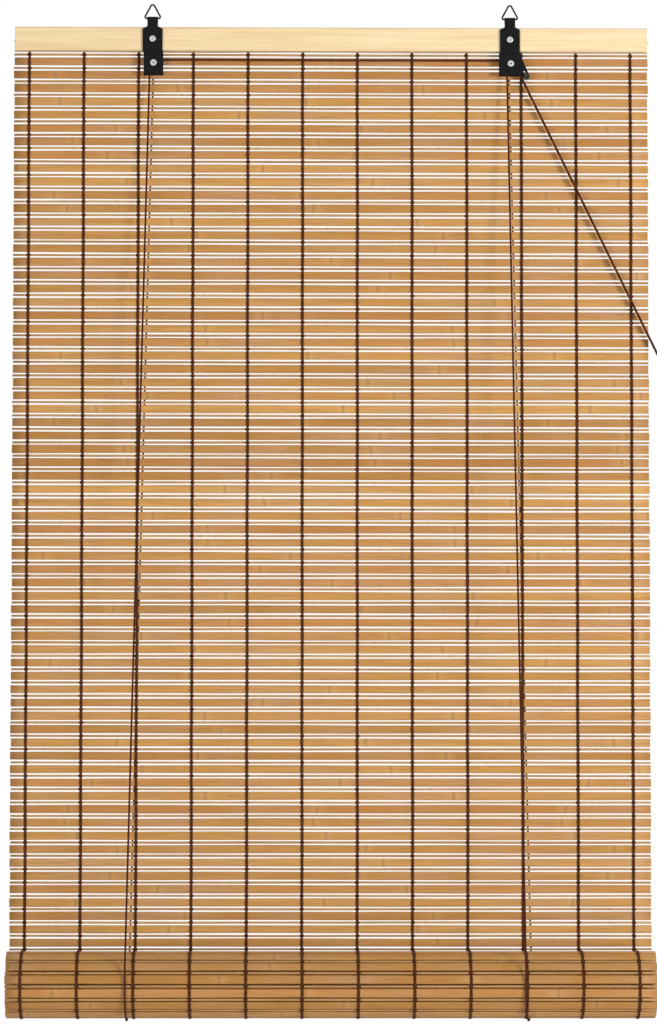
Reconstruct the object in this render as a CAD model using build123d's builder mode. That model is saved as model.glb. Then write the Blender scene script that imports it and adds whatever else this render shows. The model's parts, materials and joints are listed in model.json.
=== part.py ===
# Bamboo roll up blind, partly rolled up, hung by two wire rings.
# Sizes are in millimetres. X runs across the blind, Y from front to back and Z up.
# The origin is midway between the two rings, where their hooks bear.
from build123d import *

import os
from math import acos, asin, atan, cos, degrees, floor, hypot, pi, radians, sin, sqrt, tan

os.makedirs("parts", exist_ok=True)

# Mat: wide bamboo slats with a thin stick between each two, held by twisted threads
mat_width = 800.0
slat_width = 10.4
slat_thick = 2.2
slat_edge = 0.45
stick_width = 2.75
stick_thick = 1.8
slat_gap = 1.8
hanging_slats = 69
top_slats = 5
middle_slats = 32
thread_count = 12
first_thread_inset = 19.3
last_thread_inset = 22.25
thread_width = 3.0
thread_thick = 0.6
tie_width = 2.6
tie_thick = 1.2

# Head rail, a pine batten
rail_inset = 2.0
rail_height = 30.0
rail_depth = 12.0
rail_edge = 1.2

# Roll at the foot of the mat
roll_radius = 41.0
turn_count = 3
turn_pitch = 5.8
dip_start = 310.0
web_thick = 0.7
batten_height = 30.0
batten_depth = 12.0
batten_edge = 1.5

# Hanging rings, bent from wire
ring_wire = 2.2
ring_half_base = 10.8
ring_side_angle = 61.9
ring_corner = 2.0
ring_apex = 2.6
ring_butt = 0.2
ring_play = 0.15

# Hangers, bent from black sheet steel
bracket_spread = 450.0
sheet = 1.0
hanger_width = 25.0
hanger_height = 33.0
hanger_rise = 0.6
hanger_corner = 1.5
shoulder_drop = 3.0
neck_width = 13.5
neck_length = 10.2
neck_tail = 5.0
screw_drop = 16.0

# Pulley housings, bent from the same sheet
housing_gap = 1.2
housing_height = 28.6
left_housing_width = 24.4
left_housing_shift = 1.0
right_head_left = -13.2
right_head_right = 11.9
right_foot_right = 24.2
tab_width = 18.0
tab_rise = 7.5
fold_radius = 0.8
front_space = 1.2

# Pulleys and their riveted axles
axle_shift = 1.2
axle_below_rail = 15.4
pulley_radius = 6.0
pulley_width = 3.6
pulley_play = 0.3
bore_play = 0.1
cord_seat_play = 0.25
flange_cover = 1.1
spacer_radius = 3.0
spacer_play = 0.15
rivet_shank = 3.2
rivet_head = 8.0
rivet_head_thick = 0.8
rivet_bore = 2.0
clinch_diameter = 6.0
clinch_thick = 0.45
head_round = 0.35

# Cord lock, a toothed roller on a pin in slanted slots
roller_tip = 4.4
roller_root = 3.6
roller_teeth = 14
roller_play = 0.4
roller_drop = 23.0
roller_cord_gap = 0.6
pin_diameter = 3.0
pin_head = 5.0
pin_head_thick = 0.45
pin_end_play = 0.1
slot_play = 0.15
slot_travel = 7.0
ear_radius = 3.2

# Screws and staples
screw_head = 8.0
screw_head_thick = 1.7
screw_shank = 3.5
screw_hole_play = 0.15
screw_depth = 9.0
recess_width = 0.9
recess_length = 4.2
recess_depth = 0.9
staple_wire = 1.0
staple_crown = 10.0
staple_leg = 7.0

# Cords
cord_diameter = 2.5
cord_play = 0.6
cord_pitch = 4.0
cord_cut = 0.15
pull_angle = 25.9
lock_exit = 26.0
pull_length = 405.0
stub_length = 20.0
left_back_x = -250.5
left_front_x = -252.7
right_back_x = 250.0
right_front_x = 237.7
back_top_x = 223.5

# Screw eyes and knots that hold the cords' back ends
eye_radius = 3.2
eye_wire = 1.6
eye_drop = 9.0
eye_shank = 8.0
knot_radius = 3.0
knot_play = 0.1

# Bell on the pull cords
bell_length = 26.0
bell_top_radius = 6.0
bell_foot_radius = 9.0
bell_wall = 1.5
bell_roof = 5.0
bell_hole_play = 0.1
bell_knot_radius = 4.0
cord_in_knot = 2.5

# Heights, from the hooks down
ring_slope = radians(ring_side_angle)
ring_height = ring_half_base * tan(ring_slope) - ring_apex * (1 / cos(ring_slope) - 1)
bar_z = ring_wire / 2 - ring_height
hanger_top = bar_z - neck_length
rail_top = hanger_top - hanger_rise
rail_bottom = rail_top - rail_height
screw_z = hanger_top - screw_drop
axle_z = rail_bottom - axle_below_rail
housing_top = rail_bottom - housing_gap
housing_bottom = housing_top - housing_height

# Depths, from front to back
fold_inner = ring_wire / 2 + ring_play
fold_outer = fold_inner + sheet
hanger_front = -fold_outer
housing_front = -fold_inner
rail_front = housing_front + sheet
rail_back = rail_front + rail_depth
mat_middle_y = rail_back + slat_thick / 2
mat_back = rail_back + slat_thick
right_cord_y = rail_front + front_space + pulley_width / 2
left_cord_y = right_cord_y + cord_pitch
housing_back = left_cord_y + pulley_width / 2 + pulley_play + sheet

# Mat and roll
rail_length = mat_width - 2 * rail_inset
thread_spacing = (mat_width - first_thread_inset - last_thread_inset) / (thread_count - 1)
slat_pitch = slat_width + stick_width + 2 * slat_gap
roll_y = mat_back - roll_radius
roll_z = rail_bottom + slat_width / 2 - (hanging_slats + 1) * slat_pitch
middle_radius = roll_radius - slat_thick / 2
last_radius = middle_radius - turn_count * turn_pitch
thread_xs = [
    -mat_width / 2 + first_thread_inset + i * thread_spacing for i in range(thread_count)
]
staple_xs = [(a + b) / 2 for a, b in zip(thread_xs, thread_xs[1:])]
staple_z = rail_bottom + slat_width / 2
staple_leg_xs = [
    x + side * (staple_crown - staple_wire) / 2 for x in staple_xs for side in (-1, 1)
]

# Cords
cord_radius = cord_diameter / 2
groove_radius = cord_radius + cord_seat_play
line_radius = pulley_radius - flange_cover
loop_radius = roll_radius + thread_thick + cord_play + cord_radius
cord_back_y = roll_y + loop_radius
left_ring_x = -bracket_spread / 2
right_ring_x = bracket_spread / 2
left_axle_x = left_ring_x + axle_shift
right_axle_x = right_ring_x + axle_shift
pull_direction = Vector(sin(radians(pull_angle)), 0, -cos(radians(pull_angle)))
pull_side = Vector(cos(radians(pull_angle)), 0, sin(radians(pull_angle)))


def save(node, name):
    """Labels a finished piece and writes it under its own name."""
    node.part.label = name
    export_step(node.part, f"parts/{name}.step")


def facing(x, y, z):
    """Upright plane through a point, with X to the right, that faces the front."""
    return Plane(origin=(x, y, z), x_dir=(1, 0, 0), z_dir=(0, -1, 0))


# Mat, in three lengths that meet where only the threads cross a gap
def slat_middle(k):
    """Slat 0 lies behind the rail, and slat k hangs k pitches below it."""
    return rail_bottom + slat_width / 2 - k * slat_pitch


def stick_middle(k):
    """Stick k hangs half a pitch below slat k."""
    return slat_middle(k + 0.5)


def mat_wall(slats, sticks, stapled):
    """One length of mat, with its bars tied together inside the two outer threads."""
    top_bar = max(slat_middle(slats[0]), stick_middle(sticks[0]))
    foot_bar = min(slat_middle(slats[-1]), stick_middle(sticks[-1]))
    tie_z = (top_bar + foot_bar) / 2
    with BuildPart() as wall:
        with BuildSketch(Plane.YZ.offset(-mat_width / 2)) as ends:
            with Locations(*[(mat_middle_y, slat_middle(k)) for k in slats]):
                Rectangle(slat_thick, slat_width)
            chamfer(ends.vertices().group_by(Axis.X)[0], slat_edge)
            with Locations(*[(mat_middle_y, stick_middle(k)) for k in sticks]):
                Rectangle(stick_thick, stick_width)
        extrude(amount=mat_width)
        with Locations(*[(x, mat_middle_y, tie_z) for x in (thread_xs[0], thread_xs[-1])]):
            Box(tie_width, tie_thick, top_bar - foot_bar)
        if stapled:
            with Locations(*[(x, mat_middle_y, staple_z) for x in staple_leg_xs]):
                Box(staple_wire, slat_thick, staple_wire, mode=Mode.SUBTRACT)
    return wall


def thread_strips(front_top, back_top, foot):
    """The two yarns of each thread, one down the front of the mat and one down its back."""
    front_y = rail_back - thread_thick / 2
    back_y = mat_back + thread_thick / 2
    with BuildPart() as strips:
        for y, top in ((front_y, front_top), (back_y, back_top)):
            with Locations(*[(x, y, (top + foot) / 2) for x in thread_xs]):
                Box(thread_width, thread_thick, top - foot)
    return strips


middle_first = top_slats + 1
lower_first = middle_first + middle_slats
top_foot = slat_middle(top_slats) - slat_width / 2
middle_foot = slat_middle(lower_first - 1) - slat_width / 2
mat_highest = stick_middle(-1) + stick_width / 2
roll_first_top = roll_z + slat_width / 2

save(mat_wall(range(middle_first), range(-1, top_slats), True), "mat_top")
save(
    mat_wall(range(middle_first, lower_first), range(top_slats, lower_first - 1), False),
    "mat_middle",
)
save(
    mat_wall(
        range(lower_first, hanging_slats + 1), range(lower_first - 1, hanging_slats + 1), False
    ),
    "mat_lower",
)
save(thread_strips(rail_bottom, mat_highest, top_foot), "mat_threads_top")
save(thread_strips(top_foot, top_foot, middle_foot), "mat_threads_middle")
save(thread_strips(middle_foot, middle_foot, roll_first_top), "mat_threads_lower")


# Roll: the mat's middle surface winds down from its back, under the front and inwards.
# Each turn keeps its radius as far as the dip, then steps inwards by one turn pitch.
with BuildLine() as turns:
    for turn in range(turn_count):
        radius = middle_radius - turn * turn_pitch
        arc = CenterArc((roll_y, roll_z), radius, 0, -dip_start)
        next_start = (roll_y + radius - turn_pitch, roll_z)
        Spline(arc @ 1, next_start, tangents=(arc % 1, (0, -1)))
turns_length = turns.wire().length
most_pitches = (turns_length + last_radius * radians(dip_start)) / slat_pitch
rolled_slats = floor(most_pitches + 2.5)
closing_angle = degrees(((rolled_slats - 2.5) * slat_pitch - turns_length) / last_radius)
batten_reach = sqrt(last_radius**2 - slat_pitch**2)
batten_turn = -closing_angle - 90 - degrees(acos(batten_reach / last_radius))
with BuildLine() as winding:
    add(turns.line)
    arc = CenterArc((roll_y, roll_z), last_radius, 0, -closing_angle)
    last_run = PolarLine(arc @ 1, 1.5 * slat_pitch + slat_width / 2, batten_turn)
winding_wire = winding.wire()


def wound(pitches):
    """Place and direction on the winding, that many pitches in from the first slat."""
    reach = pitches * slat_pitch
    at = winding_wire.position_at(reach, position_mode=PositionMode.LENGTH)
    along = winding_wire.tangent_at(reach, position_mode=PositionMode.LENGTH)
    return at, along


def wound_bar(pitches, width, thick):
    """Section of a slat or stick that lies along the winding."""
    at, along = wound(pitches)
    turn = Vector(1, 0, 0).get_signed_angle(along, Vector(0, 0, 1))
    with Locations(Location((at.X, at.Y, 0), (0, 0, turn))):
        Rectangle(width, thick)


with BuildPart() as roll:
    with BuildSketch(Plane.YZ.offset(-mat_width / 2)):
        trace(winding.line, line_width=web_thick)
        for k in range(rolled_slats):
            wound_bar(k, slat_width, slat_thick)
        for k in range(rolled_slats - 1):
            wound_bar(k + 0.5, stick_width, stick_thick)
    extrude(amount=mat_width)
save(roll, "roll")

# The threads on the roll's outer turn lie flat on its slats
inner_points = []
outer_points = []
for k in range(floor(middle_radius * radians(dip_start) / slat_pitch)):
    at, along = wound(k)
    outwards = (at - Vector(roll_y, roll_z, 0)).normalized()
    for side in (-0.5, 0.5):
        corner = at + along * (slat_width * side) + outwards * (slat_thick / 2)
        inner_points.append(corner)
        outer_points.append(corner + outwards * thread_thick)
with BuildPart() as roll_threads:
    with BuildSketch(*[Plane.YZ.offset(x - thread_width / 2) for x in thread_xs]):
        with BuildLine():
            Polyline(*inner_points, *reversed(outer_points), close=True)
        make_face()
    extrude(amount=thread_width)
save(roll_threads, "roll_threads")

# Bottom batten, inside the roll against the last two slats
along = last_run % 1
inwards = Vector(along.Y, -along.X, 0)
batten_at = last_run @ 0 + along * slat_pitch + inwards * ((slat_thick + batten_depth) / 2)
with BuildPart() as bottom_batten:
    with BuildSketch(Plane.YZ.offset(-rail_length / 2)) as batten_end:
        with Locations(Location((batten_at.X, batten_at.Y, 0), (0, 0, batten_turn))):
            Rectangle(batten_height, batten_depth)
        chamfer(batten_end.vertices(), batten_edge)
    extrude(amount=rail_length)
save(bottom_batten, "bottom_batten")

# Head rail, with holes for the screws, the staples and the screw eyes
eye_z = rail_top - eye_drop
with BuildPart() as head_rail:
    with Locations((0, (rail_front + rail_back) / 2, (rail_top + rail_bottom) / 2)):
        Box(rail_length, rail_depth, rail_height)
    chamfer(head_rail.edges().filter_by(Axis.X), rail_edge)
    with BuildSketch(facing(0, rail_front + screw_depth, screw_z)):
        with Locations((left_ring_x, 0), (right_ring_x, 0)):
            Circle(screw_shank / 2)
    extrude(amount=screw_depth, mode=Mode.SUBTRACT)
    with BuildSketch(facing(0, rail_back, staple_z)):
        with Locations(*[(x, 0) for x in staple_leg_xs]):
            Rectangle(staple_wire, staple_wire)
    extrude(amount=staple_leg - slat_thick, mode=Mode.SUBTRACT)
    with BuildSketch(facing(0, rail_back, eye_z)):
        with Locations((-back_top_x, 0), (back_top_x, 0)):
            Circle(eye_wire / 2)
    extrude(amount=eye_shank, mode=Mode.SUBTRACT)
save(head_rail, "head_rail")

# Staples through the mat's first slat into the back of the rail
with BuildPart() as mat_staples:
    with Locations(*[(x, mat_back + staple_wire / 2, staple_z) for x in staple_xs]):
        Box(staple_crown, staple_wire, staple_wire)
    with Locations(*[(x, mat_back - staple_leg / 2, staple_z) for x in staple_leg_xs]):
        Box(staple_wire, staple_leg, staple_wire)
save(mat_staples, "mat_staples")


# Rings: a bent wire whose two ends butt inside the hanger's fold
def hanging_ring(x):
    with BuildPart() as ring:
        with BuildLine(facing(x, 0, bar_z)) as wire:
            FilletPolyline(
                (ring_butt / 2, 0),
                (ring_half_base, 0),
                (0, ring_half_base * tan(ring_slope)),
                (-ring_half_base, 0),
                (-ring_butt / 2, 0),
                radius=[ring_corner, ring_apex, ring_corner],
            )
        with BuildSketch(Plane(origin=wire.line @ 0, z_dir=wire.line % 0)):
            Circle(ring_wire / 2)
        sweep()
    return ring


# Hangers: a plate on the rail whose neck folds over the ring's base
def hanger(x):
    half = hanger_width / 2
    neck = neck_width / 2
    leg_y = (fold_inner + fold_outer) / 2
    leg_height = neck_length + shoulder_drop
    with BuildPart() as plate:
        with BuildSketch(facing(x, housing_front, hanger_top)) as face:
            with BuildLine():
                Polyline(
                    (-half, -hanger_height),
                    (half, -hanger_height),
                    (half, -shoulder_drop),
                    (neck, 0),
                    (-neck, 0),
                    (-half, -shoulder_drop),
                    close=True,
                )
            make_face()
            fillet(face.vertices().group_by(Axis.Y)[:-1], hanger_corner)
            with Locations((0, -screw_drop)):
                Circle(screw_shank / 2 + screw_hole_play, mode=Mode.SUBTRACT)
        extrude(amount=sheet)
        with BuildSketch(Plane.YZ.offset(x - neck)):
            with Locations((0, bar_z)):
                Circle(fold_outer)
                Circle(fold_inner, mode=Mode.SUBTRACT)
            with Locations((0, bar_z - fold_outer / 2)):
                Rectangle(2 * fold_outer, fold_outer, mode=Mode.SUBTRACT)
            with Locations((-leg_y, bar_z - leg_height / 2)):
                Rectangle(sheet, leg_height)
            with Locations((leg_y, bar_z - neck_tail / 2)):
                Rectangle(sheet, neck_tail)
        extrude(amount=neck_width)
    return plate


# Housings: a tab behind the hanger, a web under the rail and a plate each side of the pulleys
def housing(x, outline, slot):
    front_top = screw_z + tab_rise
    foot = housing_bottom - 2 * ear_radius
    with BuildPart() as box:
        with BuildSketch(Plane.YZ.offset(x - 2 * hanger_width)):
            with BuildLine():
                FilletPolyline(
                    (housing_front, housing_top - sheet / 2),
                    (housing_back - sheet / 2, housing_top - sheet / 2),
                    (housing_back - sheet / 2, foot),
                    radius=[fold_radius + sheet / 2],
                )
            trace(line_width=sheet)
            with Locations(((housing_front + rail_front) / 2, (front_top + foot) / 2)):
                Rectangle(sheet, front_top - foot)
        extrude(amount=4 * hanger_width)
        with BuildSketch(facing(x, housing_back, housing_top)):
            with BuildLine():
                Polyline(*outline, close=True)
            make_face()
            with Locations((0, (front_top - housing_top) / 2)):
                Rectangle(tab_width, front_top - housing_top)
            with Locations((0, screw_z - housing_top)):
                Circle(screw_shank / 2 + screw_hole_play, mode=Mode.SUBTRACT)
            with Locations((axle_shift, axle_z - housing_top)):
                Circle(rivet_shank / 2, mode=Mode.SUBTRACT)
            if slot:
                with Locations(slot[0]):
                    Circle(ear_radius)
                slot_middle = (Vector(*slot[0]) + Vector(*slot[1])) / 2
                with Locations(Location(slot_middle, (0, 0, 90 + degrees(slot_lean)))):
                    slot_width = pin_diameter + 2 * slot_play
                    SlotOverall(slot_travel + slot_width, slot_width, mode=Mode.SUBTRACT)
        extrude(amount=housing_back - housing_front, mode=Mode.INTERSECT)
    return box


left_edge = left_housing_shift - left_housing_width / 2
left_outline = [
    (left_edge, 0),
    (left_edge + left_housing_width, 0),
    (left_edge + left_housing_width, -housing_height),
    (left_edge, -housing_height),
]
right_outline = [
    (right_head_left, 0),
    (right_head_right, 0),
    (right_foot_right, -housing_height),
    (right_head_left, -housing_height),
]
slot_lean = atan((right_foot_right - right_head_right) / housing_height)
roller_side = line_radius + cord_radius + roller_cord_gap + roller_tip
right_axle = Vector(right_axle_x, 0, axle_z)
roller_at = right_axle + pull_side * roller_side + pull_direction * roller_drop
roller_up = roller_at + Vector(-sin(slot_lean), 0, cos(slot_lean)) * slot_travel
slot_ends = [(p.X - right_ring_x, p.Z - housing_top) for p in (roller_at, roller_up)]
save(housing(left_ring_x, left_outline, None), "left_pulley_housing")
save(housing(right_ring_x, right_outline, slot_ends), "right_lock_housing")


def bracket_screw(x):
    """A pan head screw with a cross recess, through the hanger and housing into the rail."""
    with BuildPart() as screw:
        with BuildSketch(facing(x, rail_front + screw_depth, screw_z)):
            Circle(screw_shank / 2)
        extrude(amount=rail_front + screw_depth - hanger_front)
        with BuildSketch(facing(x, hanger_front, screw_z)):
            Circle(screw_head / 2)
        extrude(amount=screw_head_thick)
        fillet(screw.edges().group_by(Axis.Y)[0], screw_head_thick / 2)
        with BuildSketch(facing(x, hanger_front - screw_head_thick + recess_depth, screw_z)):
            Rectangle(recess_width, recess_length)
            Rectangle(recess_length, recess_width)
        extrude(amount=recess_depth, mode=Mode.SUBTRACT)
    return screw


def axle(x):
    """A hollow rivet, headed in front and clinched behind, that carries the pulleys."""
    clinch_back = housing_back + clinch_thick
    with BuildPart() as rivet:
        with BuildSketch(facing(x, housing_back, axle_z)):
            Circle(rivet_shank / 2)
        extrude(amount=housing_back - housing_front)
        with BuildSketch(facing(x, clinch_back, axle_z)):
            Circle(clinch_diameter / 2)
        extrude(amount=clinch_thick)
        with BuildSketch(facing(x, housing_front, axle_z)):
            Circle(rivet_head / 2)
        extrude(amount=rivet_head_thick)
        fillet(rivet.edges().group_by(Axis.Y)[0], head_round)
        with BuildSketch(facing(x, clinch_back, axle_z)):
            Circle(rivet_bore / 2)
        extrude(amount=clinch_back - housing_front + rivet_head_thick, mode=Mode.SUBTRACT)
    return rivet


def axle_spacer(x, length):
    """A tube on the axle that keeps the pulley off the housing's front plate."""
    with BuildPart() as tube:
        with BuildSketch(facing(x, rail_front + spacer_play + length, axle_z)):
            Circle(spacer_radius)
            Circle(rivet_shank / 2 + bore_play, mode=Mode.SUBTRACT)
        extrude(amount=length)
    return tube


def pulley(x, y):
    """A grooved wheel on the axle, with its middle at depth y."""
    bore = rivet_shank / 2 + bore_play
    with BuildPart() as wheel:
        with BuildSketch(Plane(origin=(x, y, axle_z), z_dir=(0, 0, 1))):
            with Locations(((bore + pulley_radius) / 2, 0)):
                Rectangle(pulley_radius - bore, pulley_width)
            with Locations((line_radius, 0)):
                Circle(groove_radius, mode=Mode.SUBTRACT)
            with Locations((line_radius + pulley_radius / 2, 0)):
                Rectangle(pulley_radius, 2 * groove_radius, mode=Mode.SUBTRACT)
        revolve(axis=Axis((x, y, axle_z), (0, 1, 0)))
    return wheel


right_spacer_length = front_space - 2 * spacer_play
for side, x, spacer_length in (
    ("left", left_ring_x, right_spacer_length + cord_pitch),
    ("right", right_ring_x, right_spacer_length),
):
    save(hanging_ring(x), f"{side}_ring")
    save(hanger(x), f"{side}_hanger")
    save(bracket_screw(x), f"{side}_bracket_screw")
    save(axle(x + axle_shift), f"{side}_axle")
    save(axle_spacer(x + axle_shift, spacer_length), f"{side}_axle_spacer")
save(pulley(left_axle_x, left_cord_y), "left_pulley")
save(pulley(right_axle_x, right_cord_y), "right_front_pulley")
save(pulley(right_axle_x, left_cord_y), "right_rear_pulley")

# Lock roller and its pin
roller_back = housing_back - sheet - roller_play
teeth = []
for i in range(2 * roller_teeth):
    reach = roller_root if i % 2 else roller_tip
    turn = pi * i / roller_teeth
    teeth.append((reach * cos(turn), reach * sin(turn)))
with BuildPart() as lock_roller:
    with BuildSketch(facing(roller_at.X, roller_back, roller_at.Z)):
        with BuildLine():
            Polyline(*teeth, close=True)
        make_face()
        Circle(pin_diameter / 2 + bore_play, mode=Mode.SUBTRACT)
    extrude(amount=roller_back - rail_front - roller_play)
save(lock_roller, "lock_roller")
pin_front = housing_front - pin_end_play
pin_back = housing_back + pin_end_play
with BuildPart() as lock_pin:
    with BuildSketch(facing(roller_at.X, pin_back, roller_at.Z)):
        Circle(pin_diameter / 2)
    extrude(amount=pin_back - pin_front)
    for y in (pin_front, pin_back + pin_head_thick):
        with BuildSketch(facing(roller_at.X, y, roller_at.Z)):
            Circle(pin_head / 2)
        extrude(amount=pin_head_thick)
save(lock_pin, "lock_pin")


# Cords
def cord(path, name):
    """A round cord along a path, written under its name."""
    with BuildPart() as tube:
        with BuildLine():
            add(path)
        with BuildSketch(Plane(origin=path @ 0, z_dir=path % 0)):
            Circle(cord_radius)
        sweep()
    save(tube, name)


def screw_eye(x):
    """A closed eye on a shank in the back of the rail."""
    shank_from = rail_back - eye_shank
    shank_to = cord_back_y - eye_radius
    with BuildPart() as eye:
        with Locations((x, cord_back_y, eye_z)):
            Torus(eye_radius, eye_wire / 2)
        with BuildSketch(facing(x, shank_to, eye_z)):
            Circle(eye_wire / 2)
        extrude(amount=shank_to - shank_from)
    return eye


knot_rise = sqrt((knot_radius + eye_wire / 2) ** 2 - eye_radius**2) + knot_play
knot_z = eye_z + knot_rise
for side, sign, back_x, front_x, axle_x, cord_y in (
    ("left", -1, left_back_x, left_front_x, left_axle_x, left_cord_y),
    ("right", 1, right_back_x, right_front_x, right_axle_x, right_cord_y),
):
    top_x = sign * back_top_x
    save(screw_eye(top_x), f"{side}_cord_eye")
    with BuildPart() as knot:
        with Locations((top_x, cord_back_y, knot_z)):
            Sphere(knot_radius)
    save(knot, f"{side}_cord_knot")
    # The loop under the roll lies in an upright plane through the cord's front and back lines
    loop_x = Vector(back_x - front_x, 2 * loop_radius, 0)
    loop_origin = ((back_x + front_x) / 2, roll_y, roll_z)
    loop_plane = Plane(loop_origin, x_dir=loop_x, z_dir=loop_x.cross(Vector(0, 0, 1)))
    loop_reach = loop_x.length / 2
    rise = hypot(cord_y - roll_y, axle_z - roll_z)
    front_lean = degrees(asin(loop_radius / rise) + asin((cord_y - roll_y) / rise))
    with BuildLine(loop_plane) as loop:
        CenterArc((0, 0), loop_reach, 180 - front_lean, 180 + front_lean)
        front_start = (
            -loop_reach * cos(radians(front_lean)) + stub_length * sin(radians(front_lean)),
            loop_reach * sin(radians(front_lean)) + stub_length * cos(radians(front_lean)),
        )
        front_tangent = (
            -loop_reach * cos(radians(front_lean)),
            loop_reach * sin(radians(front_lean)),
        )
        Line(front_start, front_tangent)
        Line((loop_reach, 0), (loop_reach, stub_length))
    loop_wire = loop.wire()
    cord(loop_wire, f"{side}_cord_loop")
    front_end = loop_plane.from_local_coords((*front_start, 0))
    back_end = loop_plane.from_local_coords((loop_reach, stub_length, 0))
    for top, foot, name in (
        ((axle_x - line_radius, cord_y, axle_z), front_end, "front"),
        ((top_x, cord_back_y, knot_z), back_end, "back"),
    ):
        run = foot - Vector(*top)
        cord(Line(top, foot - run.normalized() * cord_cut), f"{side}_cord_{name}")
    print(side, "cord loop radius", round(loop_reach, 2), "front lean", round(front_lean, 2))

# The left cord crosses to the lock, and both cords leave it downwards to the right
leave = (right_axle_x + pull_side.X * line_radius, pull_side.Z * line_radius)
leave_end = (leave[0] + pull_direction.X * lock_exit, leave[1] + pull_direction.Z * lock_exit)
with BuildLine(facing(0, left_cord_y, axle_z)) as cross:
    CenterArc((left_axle_x, 0), line_radius, 180, -90)
    Line((left_axle_x, line_radius), (right_axle_x, line_radius))
    CenterArc((right_axle_x, 0), line_radius, 90, pull_angle - 90)
    Line(leave, leave_end)
cord(cross.wire(), "cross_cord")
with BuildLine(facing(0, right_cord_y, axle_z)) as lock_line:
    CenterArc((right_axle_x, 0), line_radius, 180, pull_angle - 180)
    Line(leave, leave_end)
cord(lock_line.wire(), "right_lock_cord")
print("cord radius over the pulleys", line_radius)

# The two pull cords run straight to their bell
lock_point = right_axle + pull_side * line_radius + pull_direction * lock_exit
bell_y = (left_cord_y + right_cord_y) / 2
bell_at = lock_point + Vector(0, bell_y, 0) + pull_direction * pull_length
bell_plane = Plane(origin=bell_at, x_dir=(0, 1, 0), z_dir=pull_direction)
for cord_y, name in ((right_cord_y, "pull_cord_front"), (left_cord_y, "pull_cord_rear")):
    start = lock_point + Vector(0, cord_y, 0) + pull_direction * cord_cut
    end = start + pull_direction * (pull_length - cord_cut + bell_roof + cord_in_knot)
    cord(Line(start, end), name)
with BuildPart() as pull_bell:
    with BuildSketch(bell_plane):
        Circle(bell_top_radius)
    with BuildSketch(bell_plane.offset(bell_length)):
        Circle(bell_foot_radius)
    loft()
    roof_radius = bell_top_radius + (bell_foot_radius - bell_top_radius) * bell_roof / bell_length
    with BuildSketch(bell_plane.offset(bell_roof)):
        Circle(roof_radius - bell_wall)
    with BuildSketch(bell_plane.offset(bell_length)):
        Circle(bell_foot_radius - bell_wall)
    loft(mode=Mode.SUBTRACT)
    with BuildSketch(bell_plane):
        with Locations((-cord_pitch / 2, 0), (cord_pitch / 2, 0)):
            Circle(cord_radius + bell_hole_play)
    extrude(amount=bell_roof, mode=Mode.SUBTRACT)
save(pull_bell, "pull_bell")
with BuildPart() as pull_knot:
    with Locations(bell_at + pull_direction * (bell_roof + bell_knot_radius + knot_play)):
        Sphere(bell_knot_radius)
save(pull_knot, "pull_knot")
print("pull cord length", pull_length, "roll centre", round(roll_y, 2), round(roll_z, 2))
print("lock point", lock_point, "roller at", roller_at, "bell at", bell_at)
print("slats rolled", rolled_slats, "winding", round(winding_wire.length, 1))
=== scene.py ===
import bpy, json, math
import numpy as np
from mathutils import Matrix, Vector


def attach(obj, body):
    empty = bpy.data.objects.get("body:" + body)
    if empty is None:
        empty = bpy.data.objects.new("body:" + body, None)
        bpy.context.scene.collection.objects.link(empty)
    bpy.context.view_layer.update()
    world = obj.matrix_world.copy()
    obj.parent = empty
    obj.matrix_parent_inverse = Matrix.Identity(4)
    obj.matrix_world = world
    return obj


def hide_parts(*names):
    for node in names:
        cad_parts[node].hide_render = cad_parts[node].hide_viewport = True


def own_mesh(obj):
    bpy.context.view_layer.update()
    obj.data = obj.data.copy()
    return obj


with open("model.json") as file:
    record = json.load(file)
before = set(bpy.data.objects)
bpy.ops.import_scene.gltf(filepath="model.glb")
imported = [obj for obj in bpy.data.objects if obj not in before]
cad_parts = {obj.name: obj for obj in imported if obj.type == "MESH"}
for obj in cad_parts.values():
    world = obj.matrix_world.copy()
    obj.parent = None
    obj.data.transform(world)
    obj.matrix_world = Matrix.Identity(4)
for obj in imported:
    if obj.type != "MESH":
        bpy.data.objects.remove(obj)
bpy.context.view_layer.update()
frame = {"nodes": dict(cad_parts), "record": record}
nodes = frame["nodes"]
print("frame loaded", len(nodes), "nodes")

mm = 0.001


# Quads of a rows by cols grid of points, with the last column joined to the first
def gridQuads(rows, cols):
    i = np.arange(rows - 1)[:, None]
    j = np.arange(cols)[None, :]
    k = (j + 1) % cols
    return np.stack([i * cols + j, i * cols + k, (i + 1) * cols + k, (i + 1) * cols + j], -1).reshape(-1, 4)


# Puts whole arrays into a mesh: points (n, 3) in metres, quads (q, 4), tris (t, 3), uv and values per point
def meshPiece(name, points, quads, tris=None, uv=None, values=None, material=None):
    tris = np.zeros((0, 3), int) if tris is None else tris
    mesh = bpy.data.meshes.new(name)
    mesh.vertices.add(len(points))
    mesh.vertices.foreach_set("co", np.ascontiguousarray(points, np.float32).ravel())
    corners = np.concatenate([quads.ravel(), tris.ravel()])
    mesh.loops.add(len(corners))
    mesh.loops.foreach_set("vertex_index", corners.astype(np.int32))
    starts = np.concatenate([np.arange(len(quads)) * 4, len(quads) * 4 + np.arange(len(tris)) * 3])
    mesh.polygons.add(len(starts))
    mesh.polygons.foreach_set("loop_start", starts.astype(np.int32))
    mesh.update(calc_edges=True)
    mesh.polygons.foreach_set("use_smooth", np.full(len(starts), True))
    if uv is not None:
        layer = mesh.uv_layers.new(name="UVMap")
        layer.data.foreach_set("uv", uv[corners].astype(np.float32).ravel())
    for key, value in (values or {}).items():
        mesh.attributes.new(key, "FLOAT", "POINT").data.foreach_set("value", value.astype(np.float32))
    mesh.validate()
    piece = bpy.data.objects.new(name, mesh)
    bpy.context.scene.collection.objects.link(piece)
    if material:
        mesh.materials.append(material)
    return piece


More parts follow.
